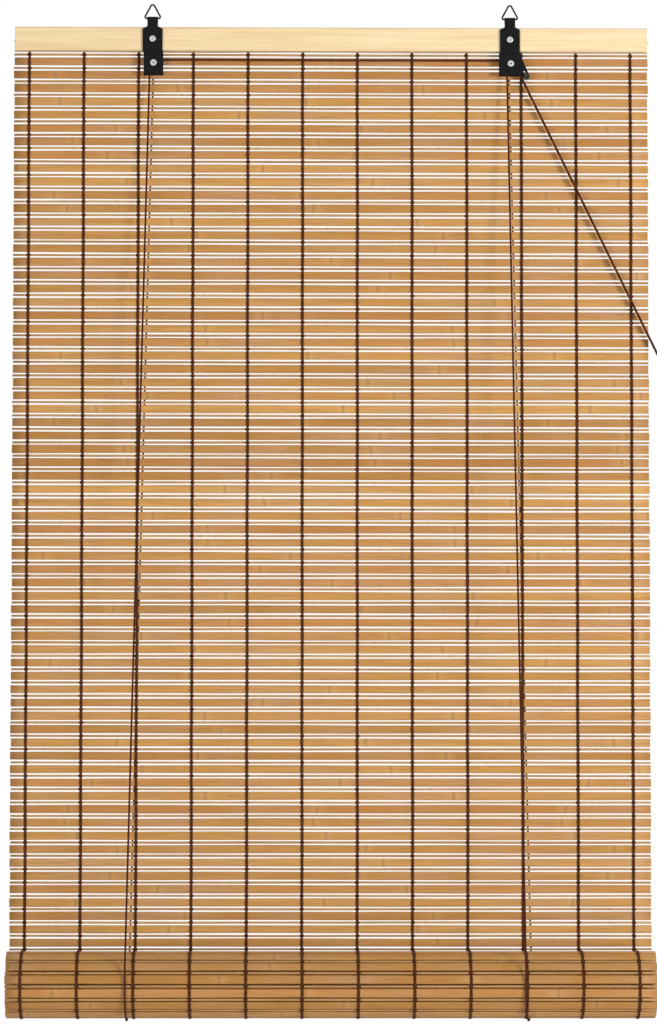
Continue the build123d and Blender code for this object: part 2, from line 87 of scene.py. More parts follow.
# Triangles that close both ends of a wrapped grid, whose two middle points follow its own
def endFans(sections, around):
    ring = np.arange(around)
    nextRing = (ring + 1) % around
    last = (sections - 1) * around
    middle = sections * around
    return np.concatenate([np.stack([np.full(around, middle), nextRing, ring], -1),
                           np.stack([np.full(around, middle + 1), last + ring, last + nextRing], -1)])


# The same faces for each of n shapes that have that many points and stand one after another
def repeated(faces, n, points):
    return (faces[None] + (np.arange(n) * points)[:, None, None]).reshape(-1, faces.shape[1])


# Bars across the blind, in mm. Each is centre + along*(drift + a*cos t raised to p) + outward*(b*sin t
# raised to q) for t once round, both with their signs kept, and it runs from end to end in x. The drift is
# two slow sines that move its middle, and the half width a swells by another slow sine.
def barSurfaces(centres, along, outward, seed, halfWidth, width, thick, square, around, sections=33, wobble=0.2):
    rng = np.random.default_rng(seed)
    n = len(centres)
    t = np.linspace(0, 2 * np.pi, around, endpoint=False) + np.pi / around
    px = np.sign(np.cos(t)) * np.abs(np.cos(t)) ** (0.3 if square else 0.9)
    py = np.sign(np.sin(t)) * np.abs(np.sin(t)) ** (0.55 if square else 0.9)
    reach = halfWidth - rng.uniform(0.0, 1.1, (n, 2))
    s = np.linspace(0, 1, sections)
    x = -reach[:, :1] + (reach[:, :1] + reach[:, 1:]) * s[None, :]
    phase = rng.uniform(0, 6.28, (n, 4))
    drift = wobble * (np.sin(x / 95 + phase[:, :1]) * 0.6 + np.sin(x / 37 + phase[:, 1:2]) * 0.4)
    swell = 1 + 0.035 * np.sin(x / 60 + phase[:, 2:3]) - 0.02
    a = width / 2 * swell * (rng.uniform(0.98, 1.05, (n, 1)) if square else rng.uniform(1.0, 1.2, (n, 1)))
    wide = drift[..., None] + a[..., None] * px
    deep = np.broadcast_to(thick / 2 * py, wide.shape)
    y = centres[:, None, None, 0] + along[:, None, None, 0] * wide + outward[:, None, None, 0] * deep
    z = centres[:, None, None, 1] + along[:, None, None, 1] * wide + outward[:, None, None, 1] * deep
    xs = np.broadcast_to(x[..., None], y.shape)
    points = np.stack([xs, y, z], -1).reshape(n, -1, 3)
    ends = np.stack([points[:, :around].mean(1), points[:, -around:].mean(1)], 1)
    points = np.concatenate([points, ends], 1)
    per = points.shape[1]
    quads = repeated(gridQuads(sections, around), n, per)
    caps = repeated(endFans(sections, around), n, per)
    across = np.concatenate([np.tile(px, sections), [0, 0]])
    uv = np.stack([points[..., 0] * mm, np.broadcast_to(across * width / 2 * mm, points.shape[:2])], -1)
    tone = np.repeat(rng.uniform(0, 1, n), per)
    hue = np.repeat(rng.uniform(0, 1, n), per)
    return points.reshape(-1, 3) * mm, quads, caps, uv.reshape(-1, 2), tone, hue


# Turns the faces over where the shape's signed volume comes out negative
def outwardQuads(points, quads, tris):
    a, b, c, d = (points[quads[:, i]] for i in range(4))
    volume = (np.einsum("ij,ij->i", a, np.cross(b, c)) + np.einsum("ij,ij->i", a, np.cross(c, d))).sum()
    if len(tris):
        e, f, g = (points[tris[:, i]] for i in range(3))
        volume += np.einsum("ij,ij->i", e, np.cross(f, g)).sum()
    return (quads, tris) if volume > 0 else (quads[:, ::-1], tris[:, ::-1])


# One mesh of many bars, with a tone and a hue for each
def barPiece(name, centres, along, outward, seed, material, **shape):
    points, quads, caps, uv, tone, hue = barSurfaces(centres, along, outward, seed, **shape)
    quads, caps = outwardQuads(points, quads, caps)
    return meshPiece(name, points, quads, caps, uv, dict(tone=tone, hue=hue), material)


# Round tube: path + r*(normal*cos t + binormal*sin t). Its radius r is radius*(1 - groove + groove*wave
# raised to 0.7), where wave is |sin(strands/2*(t + turn))| and the turn goes once round for each
# lay*strands of length, so the strands wind round it.
def tubeGrid(path, normal, binormal, radius, around, groove=0.0, lay=5.0, strands=3):
    step = np.linalg.norm(np.diff(path, axis=-2), axis=-1)
    s = np.concatenate([np.zeros(step.shape[:-1] + (1,)), np.cumsum(step, -1)], -1)
    t = np.linspace(0, 2 * np.pi, around, endpoint=False)
    wave = np.abs(np.sin(strands / 2 * (t[None, :] + 2 * np.pi * s[..., None] / (lay * strands))))
    r = radius * (1 - groove + groove * wave ** 0.7) if groove else np.full(s.shape + (around,), radius)
    points = (path[..., None, :] + r[..., None] * (normal[..., None, :] * np.cos(t)[:, None]
              + binormal[..., None, :] * np.sin(t)[:, None]))
    uv = np.stack([np.broadcast_to(s[..., None], r.shape) * mm, np.broadcast_to(t / (2 * np.pi), r.shape)], -1)
    return points, uv


# Tubes along many paths of as many points each (n, samples, 3) in mm, each closed by a fan at both ends
def tubesPiece(name, paths, radius, material, around=6, groove=0.0, lay=5.0):
    paths = np.asarray(paths, float)
    if paths.ndim == 2:
        paths = paths[None]
    tangent = np.gradient(paths, axis=1)
    tangent /= np.linalg.norm(tangent, axis=-1, keepdims=True)
    guide = np.broadcast_to(np.array([1.0, 0.31, 0.02]), tangent.shape)
    if np.abs((tangent * guide).sum(-1)).mean() > 0.85:
        guide = np.broadcast_to(np.array([0.0, 1.0, 0.02]), tangent.shape)
    normal = np.cross(tangent, guide)
    normal /= np.linalg.norm(normal, axis=-1, keepdims=True)
    binormal = np.cross(tangent, normal)
    points, uv = tubeGrid(paths, normal, binormal, radius, around, groove, lay)
    n, samples = paths.shape[:2]
    points = points.reshape(n, -1, 3)
    uv = uv.reshape(n, -1, 2)
    points = np.concatenate([points, paths[:, :1], paths[:, -1:]], 1)
    uv = np.concatenate([uv, uv[:, :1], uv[:, -1:]], 1)
    per = points.shape[1]
    quads = repeated(gridQuads(samples, around), n, per)
    caps = repeated(endFans(samples, around), n, per)
    points = points.reshape(-1, 3) * mm
    quads, caps = outwardQuads(points - points.mean(0), quads, caps)
    return meshPiece(name, points, quads, caps, uv.reshape(-1, 2), None, material)


# Yarn wound round a stick. For u from -1 to 1 across it and t once round, the stick's half width and half
# thickness grow by lift*(0.55 + 0.45*|cos(ridges*pi*u/2)|)*sqrt(1.02 - u*u), so it has turns of yarn side
# by side and round ends.
def wrapPiece(name, xs, centres, along, outward, material, width, thick, halfWide, ridges, lift, rows=7, around=12):
    u = np.linspace(-1, 1, rows)
    t = np.linspace(0, 2 * np.pi, around, endpoint=False)
    rise = lift * (0.55 + 0.45 * np.abs(np.cos(ridges * np.pi * u / 2))) * np.sqrt(1.02 - u * u)
    wide = (width / 2 + rise)[:, None] * np.cos(t)
    deep = (thick / 2 + rise)[:, None] * np.sin(t)
    n, m = len(xs), len(centres)
    y = centres[:, None, None, 0] + along[:, None, None, 0] * wide + outward[:, None, None, 0] * deep
    z = centres[:, None, None, 1] + along[:, None, None, 1] * wide + outward[:, None, None, 1] * deep
    x = xs[:, None, None, None] + halfWide * u[None, None, :, None] + 0.25 * np.sin(
        7.1 * np.arange(m) + 3.3 * xs[:, None])[..., None, None]
    whole, per = (n, m, rows, around), rows * around
    points = np.stack([np.broadcast_to(part, whole) for part in (x, y, z)], -1).reshape(-1, 3) * mm
    one = gridQuads(rows, around)
    quads = repeated(one, n * m, per)
    if outwardQuads(points[:per] - points[:per].mean(0), one, np.zeros((0, 3), int))[0][0, 0] != one[0, 0]:
        quads = quads[:, ::-1]
    uv = np.stack([np.repeat(u * halfWide * mm, around), np.tile(t / 6.283, rows)], -1)
    return meshPiece(name, points, quads, None, np.tile(uv, (n * m, 1)), None, material)


# Profile (radius, height) turned about an axis: base + axis*h + r*(side*cos t + other*sin t), where r is
# the radius less ripple*|sin(2.5*t + 0.9*h)| of it, so a knot shows its turns.
def turnedPiece(name, profile, base, axis, side, material, around=40, ripple=0.0):
    axis = np.array(axis) / np.linalg.norm(axis)
    side = np.array(side) - axis * np.dot(axis, side)
    side /= np.linalg.norm(side)
    other = np.cross(axis, side)
    t = np.linspace(0, 2 * np.pi, around, endpoint=False)
    profile = np.array(profile, float)
    r = np.maximum(profile[:, :1], 1e-3) * (1 - ripple * np.abs(np.sin(2.5 * t[None] + profile[:, 1:] * 0.9)))
    points = (np.array(base) + axis * profile[:, 1, None, None] + side * (r * np.cos(t))[..., None]
              + other * (r * np.sin(t))[..., None]).reshape(-1, 3) * mm
    quads = gridQuads(len(profile), around)
    quads, tris = outwardQuads(points - points.mean(0), quads, np.zeros((0, 3), int))
    uv = np.stack([np.tile(t / 6.283, len(profile)), np.repeat(profile[:, 1] * mm, around)], -1)
    return meshPiece(name, points, quads, tris, uv, None, material)


# Empty node group with named sockets
def newGroup(name, inputs, outputs):
    group = bpy.data.node_groups.new(name, "ShaderNodeTree")
    for label, kind, value in inputs:
        socket = group.interface.new_socket(name=label, in_out="INPUT", socket_type=kind)
        if value is not None:
            socket.default_value = value
    for label, kind in outputs:
        group.interface.new_socket(name=label, in_out="OUTPUT", socket_type=kind)
    return group, group.nodes.new("NodeGroupInput"), group.nodes.new("NodeGroupOutput")


# A node with its settings and the values of its inputs
def node(tree, kind, **settings):
    made = tree.nodes.new(kind)
    for key, value in settings.items():
        if key == "inputs":
            for socket, v in value.items():
                made.inputs[socket].default_value = v
        else:
            setattr(made, key, value)
    return made


# A maths node, where a and b are each a number or a socket
def math2(tree, operation, a, b=None, clamp=False):
    made = tree.nodes.new("ShaderNodeMath")
    made.operation = operation
    made.use_clamp = clamp
    for i, value in enumerate((a, b)):
        if value is None:
            continue
        if isinstance(value, (int, float)):
            made.inputs[i].default_value = value
        else:
            tree.links.new(value, made.inputs[i])
    return made.outputs[0]


# Carries low..high over to outLow..outHigh, and stops at both ends
def ramp(tree, value, low, high, outLow=0.0, outHigh=1.0):
    made = node(tree, "ShaderNodeMapRange", inputs={1: low, 2: high, 3: outLow, 4: outHigh})
    tree.links.new(value, made.inputs[0])
    return made.outputs[0]


# Mix of two colours, each given as three numbers or as a socket, by a number or a socket
def mixColour(tree, factor, a, b):
    made = node(tree, "ShaderNodeMix", data_type="RGBA")
    for socket, value in ((made.inputs[0], factor), (made.inputs[6], a), (made.inputs[7], b)):
        if isinstance(value, (int, float)):
            socket.default_value = value
        elif isinstance(value, tuple):
            socket.default_value = (*value, 1.0)
        else:
            tree.links.new(value, socket)
    return made.outputs[2]


# Long fibres: noise stretched along the piece, with finer streaks over broad ones
def grainGroup():
    group, gin, gout = newGroup(
        "fibreGrain",
        [("Vector", "NodeSocketVector", None), ("Stretch", "NodeSocketFloat", 0.03),
         ("Fineness", "NodeSocketFloat", 900.0)],
        [("Streaks", "NodeSocketFloat"), ("Broad", "NodeSocketFloat"), ("Flecks", "NodeSocketFloat")])
    scale = node(group, "ShaderNodeCombineXYZ", inputs={1: 1.0, 2: 1.0})
    group.links.new(gin.outputs["Stretch"], scale.inputs[0])
    squeezed = node(group, "ShaderNodeVectorMath", operation="MULTIPLY")
    group.links.new(gin.outputs["Vector"], squeezed.inputs[0])
    group.links.new(scale.outputs[0], squeezed.inputs[1])
    for label, factor, detail, low, high in (("Streaks", 1.0, 5.0, 0.3, 0.7), ("Broad", 0.12, 3.0, 0.3, 0.7),
                                            ("Flecks", 1.6, 2.0, 0.66, 0.74)):
        noise = node(group, "ShaderNodeTexNoise", inputs={"Detail": detail, "Roughness": 0.6})
        group.links.new(squeezed.outputs[0], noise.inputs["Vector"])
        group.links.new(math2(group, "MULTIPLY", gin.outputs["Fineness"], factor), noise.inputs["Scale"])
        group.links.new(ramp(group, noise.outputs[0], low, high), gout.inputs[label])
    return group


# Edge wear: where a rounded normal leaves the true one, broken up by noise
def wearGroup():
    group, gin, gout = newGroup(
        "edgeWear",
        [("Radius", "NodeSocketFloat", 0.0006), ("Amount", "NodeSocketFloat", 0.5),
         ("Scale", "NodeSocketFloat", 700.0)],
        [("Mask", "NodeSocketFloat"), ("Soft Normal", "NodeSocketVector")])
    bevel = node(group, "ShaderNodeBevel", samples=4)
    geometry = node(group, "ShaderNodeNewGeometry")
    group.links.new(gin.outputs["Radius"], bevel.inputs["Radius"])
    dot = node(group, "ShaderNodeVectorMath", operation="DOT_PRODUCT")
    group.links.new(bevel.outputs[0], dot.inputs[0])
    group.links.new(geometry.outputs["Normal"], dot.inputs[1])
    coords = node(group, "ShaderNodeTexCoord")
    noise = node(group, "ShaderNodeTexNoise", inputs={"Detail": 4.0})
    group.links.new(coords.outputs["Object"], noise.inputs["Vector"])
    group.links.new(gin.outputs["Scale"], noise.inputs["Scale"])
    edge = ramp(group, dot.outputs["Value"], 0.995, 0.9)
    broken = math2(group, "MULTIPLY", edge, ramp(group, noise.outputs[0], 0.42, 0.62), True)
    group.links.new(math2(group, "MULTIPLY", broken, gin.outputs["Amount"], True), gout.inputs["Mask"])
    group.links.new(bevel.outputs[0], gout.inputs["Soft Normal"])
    return group


# Dust and handling marks: cloudy noise, heavier on faces that look up
def dustGroup():
    group, gin, gout = newGroup("dust", [("Scale", "NodeSocketFloat", 60.0), ("Amount", "NodeSocketFloat", 0.2)],
                                [("Mask", "NodeSocketFloat")])
    coords = node(group, "ShaderNodeTexCoord")
    noise = node(group, "ShaderNodeTexNoise", inputs={"Detail": 6.0, "Roughness": 0.65})
    group.links.new(coords.outputs["Object"], noise.inputs["Vector"])
    group.links.new(gin.outputs["Scale"], noise.inputs["Scale"])
    split = node(group, "ShaderNodeSeparateXYZ")
    group.links.new(coords.outputs["Normal"], split.inputs[0])
    up = ramp(group, split.outputs["Z"], -0.2, 1.0, 0.35, 1.0)
    cloud = ramp(group, noise.outputs[0], 0.4, 0.75)
    group.links.new(math2(group, "MULTIPLY", math2(group, "MULTIPLY", cloud, up), gin.outputs["Amount"], True),
                    gout.inputs["Mask"])
    return group


# Twisted yarn: slanting bands over the piece's own UV, plus fuzz; where the bands dip, the finishes paint shade
# between the plies
def twistGroup():
    group, gin, gout = newGroup(
        "yarnTwist",
        [("Along", "NodeSocketFloat", 600.0), ("Around", "NodeSocketFloat", 1.0)],
        [("Bands", "NodeSocketFloat"), ("Fuzz", "NodeSocketFloat")])
    uv = node(group, "ShaderNodeUVMap", uv_map="UVMap")
    split = node(group, "ShaderNodeSeparateXYZ")
    group.links.new(uv.outputs[0], split.inputs[0])
    sloped = math2(group, "ADD", math2(group, "MULTIPLY", split.outputs[0], gin.outputs["Along"]),
                   math2(group, "MULTIPLY", split.outputs[1], gin.outputs["Around"]))
    wave = math2(group, "ABSOLUTE", math2(group, "SINE", math2(group, "MULTIPLY", sloped, 3.14159)))
    coords = node(group, "ShaderNodeTexCoord")
    noise = node(group, "ShaderNodeTexNoise", inputs={"Scale": 2600.0, "Detail": 2.0})
    group.links.new(coords.outputs["Object"], noise.inputs["Vector"])
    group.links.new(wave, gout.inputs["Bands"])
    group.links.new(noise.outputs[0], gout.inputs["Fuzz"])
    return group


fibreGrain, edgeWear, dust, yarnTwist = grainGroup(), wearGroup(), dustGroup(), twistGroup()


# A group placed in a material with its own values
def useGroup(tree, group, **values):
    made = node(tree, "ShaderNodeGroup", node_tree=group)
    for key, value in values.items():
        made.inputs[key].default_value = value
    return made


# A material whose shader has those values; an underscore stands for a space in a socket's name
def newMaterial(name, **shaderValues):
    material = bpy.data.materials.new(name)
    material.use_nodes = True
    tree = material.node_tree
    shader = tree.nodes["Principled BSDF"]
    for key, value in shaderValues.items():
        shader.inputs[key.replace("_", " ")].default_value = value
    return material, tree, shader


# Height over the shader's normal, or over another one
def bump(tree, shader, height, strength, distance, normal=None):
    made = node(tree, "ShaderNodeBump", inputs={"Strength": strength, "Distance": distance})
    tree.links.new(height, made.inputs["Height"])
    if normal is not None:
        tree.links.new(normal, made.inputs["Normal"])
    tree.links.new(made.outputs[0], shader.inputs["Normal"])


# Split bamboo: each bar has its own tone and hue, fibres along it, node marks across it and dark flecks
def bambooFinish(name, light, dark, pink, nodeGap):
    material, tree, shader = newMaterial(name, Specular_IOR_Level=0.22, Coat_Roughness=0.35)
    tone = node(tree, "ShaderNodeAttribute", attribute_name="tone").outputs["Fac"]
    hue = node(tree, "ShaderNodeAttribute", attribute_name="hue").outputs["Fac"]
    uv = node(tree, "ShaderNodeUVMap", uv_map="UVMap")
    split = node(tree, "ShaderNodeSeparateXYZ")
    tree.links.new(uv.outputs[0], split.inputs[0])
    place = node(tree, "ShaderNodeCombineXYZ")
    tree.links.new(math2(tree, "ADD", split.outputs[0], math2(tree, "MULTIPLY", tone, 37.0)), place.inputs[0])
    tree.links.new(split.outputs[1], place.inputs[1])
    tree.links.new(math2(tree, "MULTIPLY", hue, 5.0), place.inputs[2])
    grain = useGroup(tree, fibreGrain, Stretch=0.018, Fineness=1100.0)
    tree.links.new(place.outputs[0], grain.inputs["Vector"])
    base = mixColour(tree, tone, dark, light)
    base = mixColour(tree, math2(tree, "MULTIPLY", ramp(tree, hue, 0.55, 1.0), 0.6), base, pink)
    base = mixColour(tree, math2(tree, "MULTIPLY", grain.outputs["Broad"], 0.55), base, dark)
    patches = node(tree, "ShaderNodeTexNoise", inputs={"Scale": 7.0, "Detail": 3.0})
    tree.links.new(place.outputs[0], patches.inputs["Vector"])
    base = mixColour(tree, ramp(tree, patches.outputs[0], 0.45, 0.68, 0.0, 0.6), base, (0.50, 0.29, 0.15))
    base = mixColour(tree, math2(tree, "MULTIPLY", grain.outputs["Streaks"], 0.6), base, (0.24, 0.10, 0.026))
    turn = math2(tree, "FRACT", math2(tree, "ADD", math2(tree, "DIVIDE", split.outputs[0], nodeGap),
                 math2(tree, "MULTIPLY", hue, 7.0)))
    away = math2(tree, "ABSOLUTE", math2(tree, "SUBTRACT", turn, 0.5))
    scar = ramp(tree, away, 0.003 / nodeGap, 0.0006 / nodeGap)
    halo = ramp(tree, away, 0.015 / nodeGap, 0.0024 / nodeGap)
    base = mixColour(tree, math2(tree, "MULTIPLY", halo, 0.18), base, (0.62, 0.38, 0.15))
    base = mixColour(tree, math2(tree, "MULTIPLY", scar, 0.4), base, (0.19, 0.085, 0.028))
    base = mixColour(tree, math2(tree, "MULTIPLY", grain.outputs["Flecks"], 0.7), base, (0.09, 0.035, 0.012))
    soil = useGroup(tree, dust, Scale=45.0, Amount=0.25)
    base = mixColour(tree, soil.outputs[0], base, (0.44, 0.26, 0.11))
    tree.links.new(base, shader.inputs["Base Color"])
    tree.links.new(ramp(tree, grain.outputs["Streaks"], 0.0, 1.0, 0.42, 0.68), shader.inputs["Roughness"])
    tree.links.new(ramp(tree, grain.outputs["Broad"], 0.0, 1.0, 0.05, 0.0), shader.inputs["Coat Weight"])
    height = math2(tree, "ADD", math2(tree, "MULTIPLY", grain.outputs["Streaks"], 0.5),
                   math2(tree, "MULTIPLY", scar, 1.2))
    bump(tree, shader, height, 0.5, 0.00025)
    return material


# Planed pine: pale wood with lengthwise year lines, a few dark pores and soft edges
def pineFinish():
    material, tree, shader = newMaterial("pine", Specular_IOR_Level=0.35)
    coords = node(tree, "ShaderNodeTexCoord")
    grain = useGroup(tree, fibreGrain, Stretch=0.03, Fineness=240.0)
    tree.links.new(coords.outputs["Object"], grain.inputs["Vector"])
    early, late = (0.80, 0.655, 0.41), (0.72, 0.54, 0.30)
    base = mixColour(tree, math2(tree, "MULTIPLY", grain.outputs["Broad"], 0.75), early, late)
    base = mixColour(tree, math2(tree, "MULTIPLY", grain.outputs["Streaks"], 0.6), base, (0.60, 0.40, 0.19))
    base = mixColour(tree, math2(tree, "MULTIPLY", grain.outputs["Flecks"], 0.25), base, (0.3, 0.16, 0.06))
    wear = useGroup(tree, edgeWear, Radius=0.0012, Amount=0.35, Scale=150.0)
    base = mixColour(tree, wear.outputs[0], base, (0.62, 0.43, 0.22))
    tree.links.new(base, shader.inputs["Base Color"])
    tree.links.new(ramp(tree, grain.outputs["Streaks"], 0.0, 1.0, 0.5, 0.7), shader.inputs["Roughness"])
    bump(tree, shader, grain.outputs["Streaks"], 0.25, 0.0002, wear.outputs[1])
    return material


# Yarn or cord: bands of twist with painted shade between the plies, with fuzz and a cloth sheen
def yarnFinish(name, dark, light, along, around):
    material, tree, shader = newMaterial(name, Specular_IOR_Level=0.06, Sheen_Weight=0.04, Sheen_Roughness=0.5)
    twist = useGroup(tree, yarnTwist, Along=along, Around=around)
    # The dark tone where the bands dip is painted shade in the grooves between the plies, not a colour of the yarn
    base = mixColour(tree, twist.outputs["Bands"], dark, light)
    base = mixColour(tree, math2(tree, "MULTIPLY", twist.outputs["Fuzz"], 0.3), base, dark)
    tree.links.new(base, shader.inputs["Base Color"])
    tree.links.new(ramp(tree, twist.outputs["Fuzz"], 0.3, 0.7, 0.7, 0.95), shader.inputs["Roughness"])
    height = math2(tree, "ADD", twist.outputs["Bands"], math2(tree, "MULTIPLY", twist.outputs["Fuzz"], 0.4))
    bump(tree, shader, height, 0.6, 0.0003)
    return material


# The free pull cords have no UV of their own, so their braid reads Object coordinates turned along them
def straightCordFinish():
    material, tree, shader = newMaterial("pullCord", Specular_IOR_Level=0.06, Sheen_Weight=0.04, Sheen_Roughness=0.5)
    coords = node(tree, "ShaderNodeTexCoord")
    turn = node(tree, "ShaderNodeMapping", vector_type="POINT", inputs={"Rotation": (0, math.radians(-25.9), 0)})
    tree.links.new(coords.outputs["Object"], turn.inputs[0])
    wave = node(tree, "ShaderNodeTexWave", wave_type="BANDS", bands_direction="DIAGONAL",
                inputs={"Scale": 190.0, "Distortion": 1.0, "Detail": 1.0})
    tree.links.new(turn.outputs[0], wave.inputs[0])
    # The dark tone of the wave bands is painted shade in the grooves of the braid, not a colour of the cord
    base = mixColour(tree, wave.outputs["Fac"], (0.022, 0.005, 0.003), (0.12, 0.030, 0.016))
    tree.links.new(base, shader.inputs["Base Color"])
    tree.links.new(ramp(tree, wave.outputs["Fac"], 0.0, 1.0, 0.92, 0.72), shader.inputs["Roughness"])
    bump(tree, shader, wave.outputs["Fac"], 0.5, 0.0003)
    return material


# Sheet or bar metal: mottled coat, worn to bare metal along the edges, with a little dust
def metalFinish(name, paint, bare, rough, wearAmount, painted):
    material, tree, shader = newMaterial(name, Specular_IOR_Level=0.07 if painted else 0.5)
    coords = node(tree, "ShaderNodeTexCoord")
    noise = node(tree, "ShaderNodeTexNoise", inputs={"Scale": 420.0, "Detail": 5.0})
    tree.links.new(coords.outputs["Object"], noise.inputs["Vector"])
    wear = useGroup(tree, edgeWear, Radius=0.0004, Amount=wearAmount, Scale=900.0)
    soil = useGroup(tree, dust, Scale=120.0, Amount=0.10)
    base = mixColour(tree, math2(tree, "MULTIPLY", noise.outputs[0], 0.5), paint, tuple(c * 1.7 for c in paint))
    base = mixColour(tree, wear.outputs[0], base, bare)
    base = mixColour(tree, soil.outputs[0], base, tuple(0.6 * c + 0.02 for c in bare))
    tree.links.new(base, shader.inputs["Base Color"])
    metal = math2(tree, "MAXIMUM", wear.outputs[0], 0.0 if painted else 1.0)
    clean = math2(tree, "SUBTRACT", 1.0, soil.outputs[0])
    tree.links.new(math2(tree, "MULTIPLY", metal, clean), shader.inputs["Metallic"])
    tree.links.new(ramp(tree, noise.outputs[0], 0.3, 0.7, rough, rough + 0.16), shader.inputs["Roughness"])
    bump(tree, shader, noise.outputs[0], 0.15, 0.0001, wear.outputs[1])
    return material


# Dark moulded plastic of the pulleys, rubbed along the rims
def plasticFinish():
    material, tree, shader = newMaterial("pulleyPlastic", Specular_IOR_Level=0.45)
    wear = useGroup(tree, edgeWear, Radius=0.0004, Amount=0.4, Scale=800.0)
    soil = useGroup(tree, dust, Scale=200.0, Amount=0.25)
    base = mixColour(tree, wear.outputs[0], (0.035, 0.035, 0.037), (0.12, 0.12, 0.12))
    tree.links.new(mixColour(tree, soil.outputs[0], base, (0.2, 0.18, 0.15)), shader.inputs["Base Color"])
    tree.links.new(ramp(tree, soil.outputs[0], 0.0, 0.2, 0.4, 0.6), shader.inputs["Roughness"])
    return material


# Stained turned wood: dark streaks over brown
def turnedWoodFinish():
    material, tree, shader = newMaterial("bellWood", Specular_IOR_Level=0.45, Coat_Roughness=0.2, Coat_Weight=0.3)
    coords = node(tree, "ShaderNodeTexCoord")
    grain = useGroup(tree, fibreGrain, Stretch=0.3, Fineness=500.0)
    tree.links.new(coords.outputs["Object"], grain.inputs["Vector"])
    base = mixColour(tree, grain.outputs["Streaks"], (0.26, 0.12, 0.05), (0.12, 0.05, 0.022))
    tree.links.new(base, shader.inputs["Base Color"])
    tree.links.new(ramp(tree, grain.outputs["Broad"], 0.0, 1.0, 0.35, 0.5), shader.inputs["Roughness"])
    bump(tree, shader, grain.outputs["Streaks"], 0.3, 0.0002)
    return material


# The finishes. Bamboo takes a light, a dark and a pink tone and the gap between its nodes in metres, yarn takes
# a dark and a light tone, and metal takes the colour of its coat and of bare metal.
slatBamboo = bambooFinish("slatBamboo", (0.66, 0.355, 0.098), (0.40, 0.185, 0.040), (0.48, 0.19, 0.058), 0.31)
stickBamboo = bambooFinish("stickBamboo", (0.62, 0.40, 0.15), (0.38, 0.20, 0.06), (0.42, 0.20, 0.075), 0.23)
pine = pineFinish()
yarn = yarnFinish("warpYarn", (0.016, 0.004, 0.0015), (0.14, 0.042, 0.011), 700.0, 1.0)
knotYarn = yarnFinish("knotYarn", (0.008, 0.002, 0.001), (0.05, 0.015, 0.005), 700.0, 1.0)
cordBraid = yarnFinish("cordBraid", (0.018, 0.004, 0.0025), (0.10, 0.024, 0.013), 600.0, 3.0)
pullBraid = straightCordFinish()
blackSteel = metalFinish("blackSteel", (0.004, 0.004, 0.0045), (0.10, 0.10, 0.095), 0.5, 0.15, True)
zinc = metalFinish("zinc", (0.42, 0.42, 0.41), (0.75, 0.75, 0.73), 0.3, 0.5, False)
rollerMetal = metalFinish("rollerMetal", (0.10, 0.075, 0.045), (0.45, 0.36, 0.2), 0.35, 0.8, False)
pulleyPlastic, bellWood = plasticFinish(), turnedWoodFinish()
print("finishes made")

# The CAD nodes that stay in view wear the finish of their slot
slotFinish = dict(bamboo=slatBamboo, pine=pine, thread=yarn, cord=cordBraid, black_steel=blackSteel, zinc=zinc,
                  pulley_plastic=pulleyPlastic, roller_brass=rollerMetal, bell_wood=bellWood)
for part in frame["record"]["subparts"]:
    cadNode = nodes[part["node"]]
    cadNode.data.materials.clear()
    cadNode.data.materials.append(slotFinish[part["material_slot"]])
nodes["lock_pin"].data.materials[0] = metalFinish("darkPin", (0.03, 0.028, 0.026), (0.2, 0.18, 0.15), 0.45, 0.6, True)

# The mat: rows of slats with a round stick between each two, hung from the back of the rail
mat = dict(midY=12.85, pitch=16.75, topZ=-51.807, rows=70, topRows=6, seam=-140.757, drop=1167.5, sag=5.0, seed=7)
slatShape = dict(halfWidth=400.0, width=10.4, thick=2.2, square=True, around=12)
stickShape = dict(halfWidth=400.0, width=2.75, thick=1.8, square=False, around=8)
slatZ = mat["topZ"] - mat["pitch"] * np.arange(mat["rows"])
stickZ = mat["topZ"] - mat["pitch"] * (np.arange(-1, mat["rows"]) + 0.5)


# The threads let the rows down by sag*sin(pi*share of the way down), so the middle ones most
def sagged(z):
    return z - mat["sag"] * np.sin(np.pi * np.clip((mat["topZ"] - z) / mat["drop"], 0, 1))


# Middle, heading and outward direction (y, z) of the rows at those heights
def hangingRows(z):
    middle = np.stack([np.full(len(z), mat["midY"]), sagged(z)], -1)
    return middle, np.tile([0.0, 1.0], (len(z), 1)), np.tile([-1.0, 0.0], (len(z), 1))


# The strip behind the rail keeps its place; what hangs below the seam gets a mesh of its own
def dressMat(piece, slotName, *replaced, lifts):
    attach(piece, "root")
    if lifts:
        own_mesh(piece)
    if replaced:
        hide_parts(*replaced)


topRows = mat["topRows"]
for label, chosen, sticks, replaced, lifts in (
        ("top", slatZ[:topRows], stickZ[:topRows], ("mat_top",), False),
        ("hanging", slatZ[topRows:], stickZ[topRows:], ("mat_middle", "mat_lower"), True)):
    slats = barPiece(label + "Slats", *hangingRows(chosen), mat["seed"] + len(chosen), slatBamboo, **slatShape)
    dressMat(slats, "bamboo", *replaced, lifts=lifts)
    rods = barPiece(label + "Sticks", *hangingRows(sticks), mat["seed"] + 3 * len(sticks), stickBamboo, **stickShape)
    dressMat(rods, "bamboo", lifts=lifts)
print("mat hung")

# The warp threads: two yarns in front and two behind, and a knot round each stick
threads = dict(count=12, first=-380.7, spacing=68.95, strand=0.9, spread=0.98, stand=1.5, around=5,
               frontTop=-57.6, backTop=-42.06, foot=-1219.1, topSamples=36, samples=450)
wrapShape = dict(width=stickShape["width"], thick=stickShape["thick"], halfWide=2.5, ridges=3, lift=1.0)
threadX = threads["first"] + threads["spacing"] * np.arange(threads["count"])


# Half the way between a thread's two yarns: spread*(0.7 + 0.3*cos(turn/2) squared)
def yarnSwing(turn):
    return threads["spread"] * (0.7 + 0.3 * np.cos(turn / 2) ** 2)


